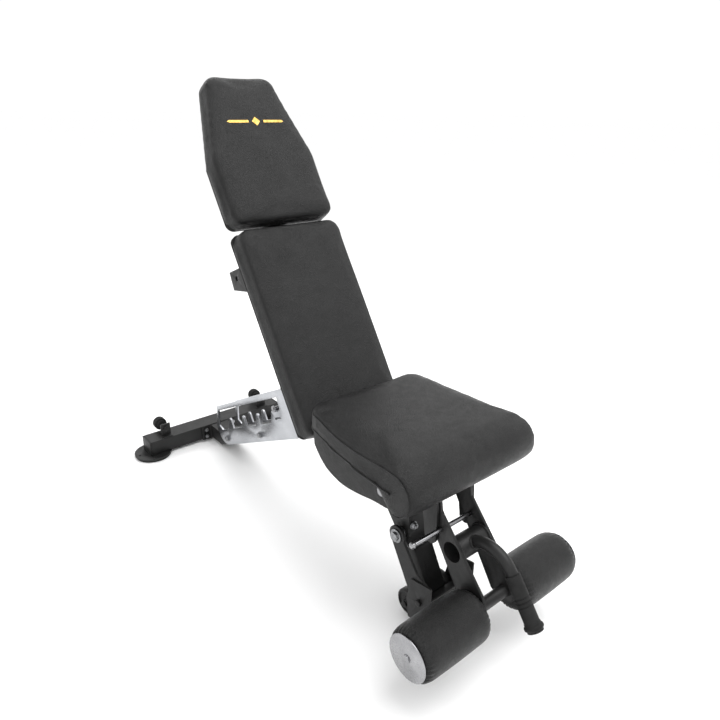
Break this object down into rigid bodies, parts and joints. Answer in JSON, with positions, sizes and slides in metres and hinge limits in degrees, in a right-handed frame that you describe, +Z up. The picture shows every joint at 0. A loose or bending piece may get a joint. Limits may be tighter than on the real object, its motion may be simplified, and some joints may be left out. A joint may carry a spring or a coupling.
{
  "type": "adjustable weight bench",
  "caption": "Adjustable weight bench with padded seat, reclining backrest and headrest, notched ladder support, folding front leg and foam roller arm.",
  "frame": {"origin": "on the floor under the middle of the bench's overall box", "axes": "+Z up, +Y from the rollers to the rear stabiliser, +X to the sitter's left, the sitter facing -Y"},
  "size_m": [0.54, 1.32, 1.0784],
  "materials": {
    "frame_black": "satin black powder coat",
    "ladder_steel": "bright polished plate",
    "bolt_steel": "zinc plated",
    "bright_steel": "chromed",
    "black_vinyl": "grained black leatherette",
    "plywood": "birch plywood under black backing cloth",
    "black_rubber": "matt moulded rubber",
    "black_plastic": "moulded plastic"
  },
  "bodies": {
    "base": {"main_beam": "frame_black", "rear_stabiliser_tube": "frame_black", "stabiliser_cap_left": "black_plastic", "stabiliser_cap_right": "black_plastic", "disc_foot_left": "frame_black", "disc_foot_right": "frame_black", "disc_foot_rubber_left": "black_rubber", "disc_foot_rubber_right": "black_rubber", "bumper_bracket_left": "frame_black", "bumper_bracket_right": "frame_black", "storage_bumper_left": "black_rubber", "storage_bumper_right": "black_rubber", "ladder_plate_left": "ladder_steel", "ladder_plate_right": "ladder_steel", "beam_bolts": "bolt_steel", "hinge_cheek_left": "frame_black", "hinge_cheek_right": "frame_black", "pivot_bolts": "bolt_steel", "front_bracket": "frame_black", "bracket_bolts": "bolt_steel", "leg_axle_bolt": "bolt_steel"},
    "clamp": {"seat_clamp_knob": "black_plastic"},
    "front_leg": {"leg_plate_left": "frame_black", "leg_plate_right": "frame_black", "leg_post": "frame_black", "front_foot_tube": "frame_black", "front_foot_channel": "frame_black", "foot_bolts": "frame_black", "front_foot_pads": "black_rubber", "wheel_axle": "frame_black"},
    "left_wheel": {"wheel_left": "black_plastic"},
    "right_wheel": {"wheel_right": "black_plastic"},
    "seat": {"seat_pad": "black_vinyl", "seat_board": "plywood", "seat_rail_left": "frame_black", "seat_rail_right": "frame_black", "seat_side_plate_left": "frame_black", "seat_side_plate_right": "frame_black", "seat_cross_tubes": "frame_black", "seat_side_bolts": "bright_steel", "arm_pivot_bolt": "bolt_steel"},
    "arm": {"arm_plate_left": "frame_black", "arm_plate_right": "frame_black", "arm_cross_tube": "frame_black", "roller_axle": "frame_black", "handle_tube": "frame_black", "handle_grip": "black_rubber"},
    "left_roller": {"roller_foam_left": "black_vinyl", "roller_end_cap_left": "bright_steel"},
    "right_roller": {"roller_foam_right": "black_vinyl", "roller_end_cap_right": "bright_steel"},
    "lock_pin": {"arm_lock_pin": "bright_steel"},
    "backrest": {"backrest_pad": "black_vinyl", "headrest_pad": "black_vinyl", "backrest_board": "plywood", "headrest_board": "plywood", "backrest_frame": "frame_black", "strut_pivot_bolt": "bolt_steel"},
    "strut": {"support_strut": "frame_black", "strut_cross_pin": "bright_steel"}
  },
  "joints": [
    {"name": "backrest_recline", "type": "hinge", "parent": "base", "child": "backrest", "pos_m": [0, -0.049, 0.36], "axis": [1, 0, 0], "range_deg": [-56.8, 0]},
    {"name": "strut_swing", "type": "hinge", "parent": "backrest", "child": "strut", "pos_m": [0, 0.13989, 0.58656], "axis": [1, 0, 0], "range_deg": [0, 101.2]},
    {"name": "seat_tilt", "type": "hinge", "parent": "base", "child": "seat", "pos_m": [0, -0.165, 0.335], "axis": [1, 0, 0], "range_deg": [-15, 0]},
    {"name": "arm_swing", "type": "hinge", "parent": "seat", "child": "arm", "pos_m": [0, -0.416, 0.322], "axis": [1, 0, 0], "range_deg": [-50, 0]},
    {"name": "roller_left_spin", "type": "hinge", "parent": "arm", "child": "left_roller", "pos_m": [0, -0.542, 0.132], "axis": [1, 0, 0], "continuous": true},
    {"name": "roller_right_spin", "type": "hinge", "parent": "arm", "child": "right_roller", "pos_m": [0, -0.542, 0.132], "axis": [1, 0, 0], "continuous": true},
    {"name": "lock_pin_pull", "type": "slide", "parent": "arm", "child": "lock_pin", "axis": [-1, 0, 0], "range_m": [0, 0.12]},
    {"name": "leg_fold", "type": "hinge", "parent": "base", "child": "front_leg", "pos_m": [0, -0.337, 0.19], "axis": [1, 0, 0], "range_deg": [0, 90]},
    {"name": "wheel_left_spin", "type": "hinge", "parent": "front_leg", "child": "left_wheel", "pos_m": [0, -0.371, 0.032], "axis": [1, 0, 0], "continuous": true},
    {"name": "wheel_right_spin", "type": "hinge", "parent": "front_leg", "child": "right_wheel", "pos_m": [0, -0.371, 0.032], "axis": [1, 0, 0], "continuous": true},
    {"name": "clamp_knob_turn", "type": "hinge", "parent": "base", "child": "clamp", "pos_m": [0, -0.306, 0.262], "axis": [1, 0, 0], "range_deg": [0, 300]}
  ],
  "couplings": [
    {"joint": "strut_swing", "follows": "backrest_recline", "ratio": -1.78}
  ]
}
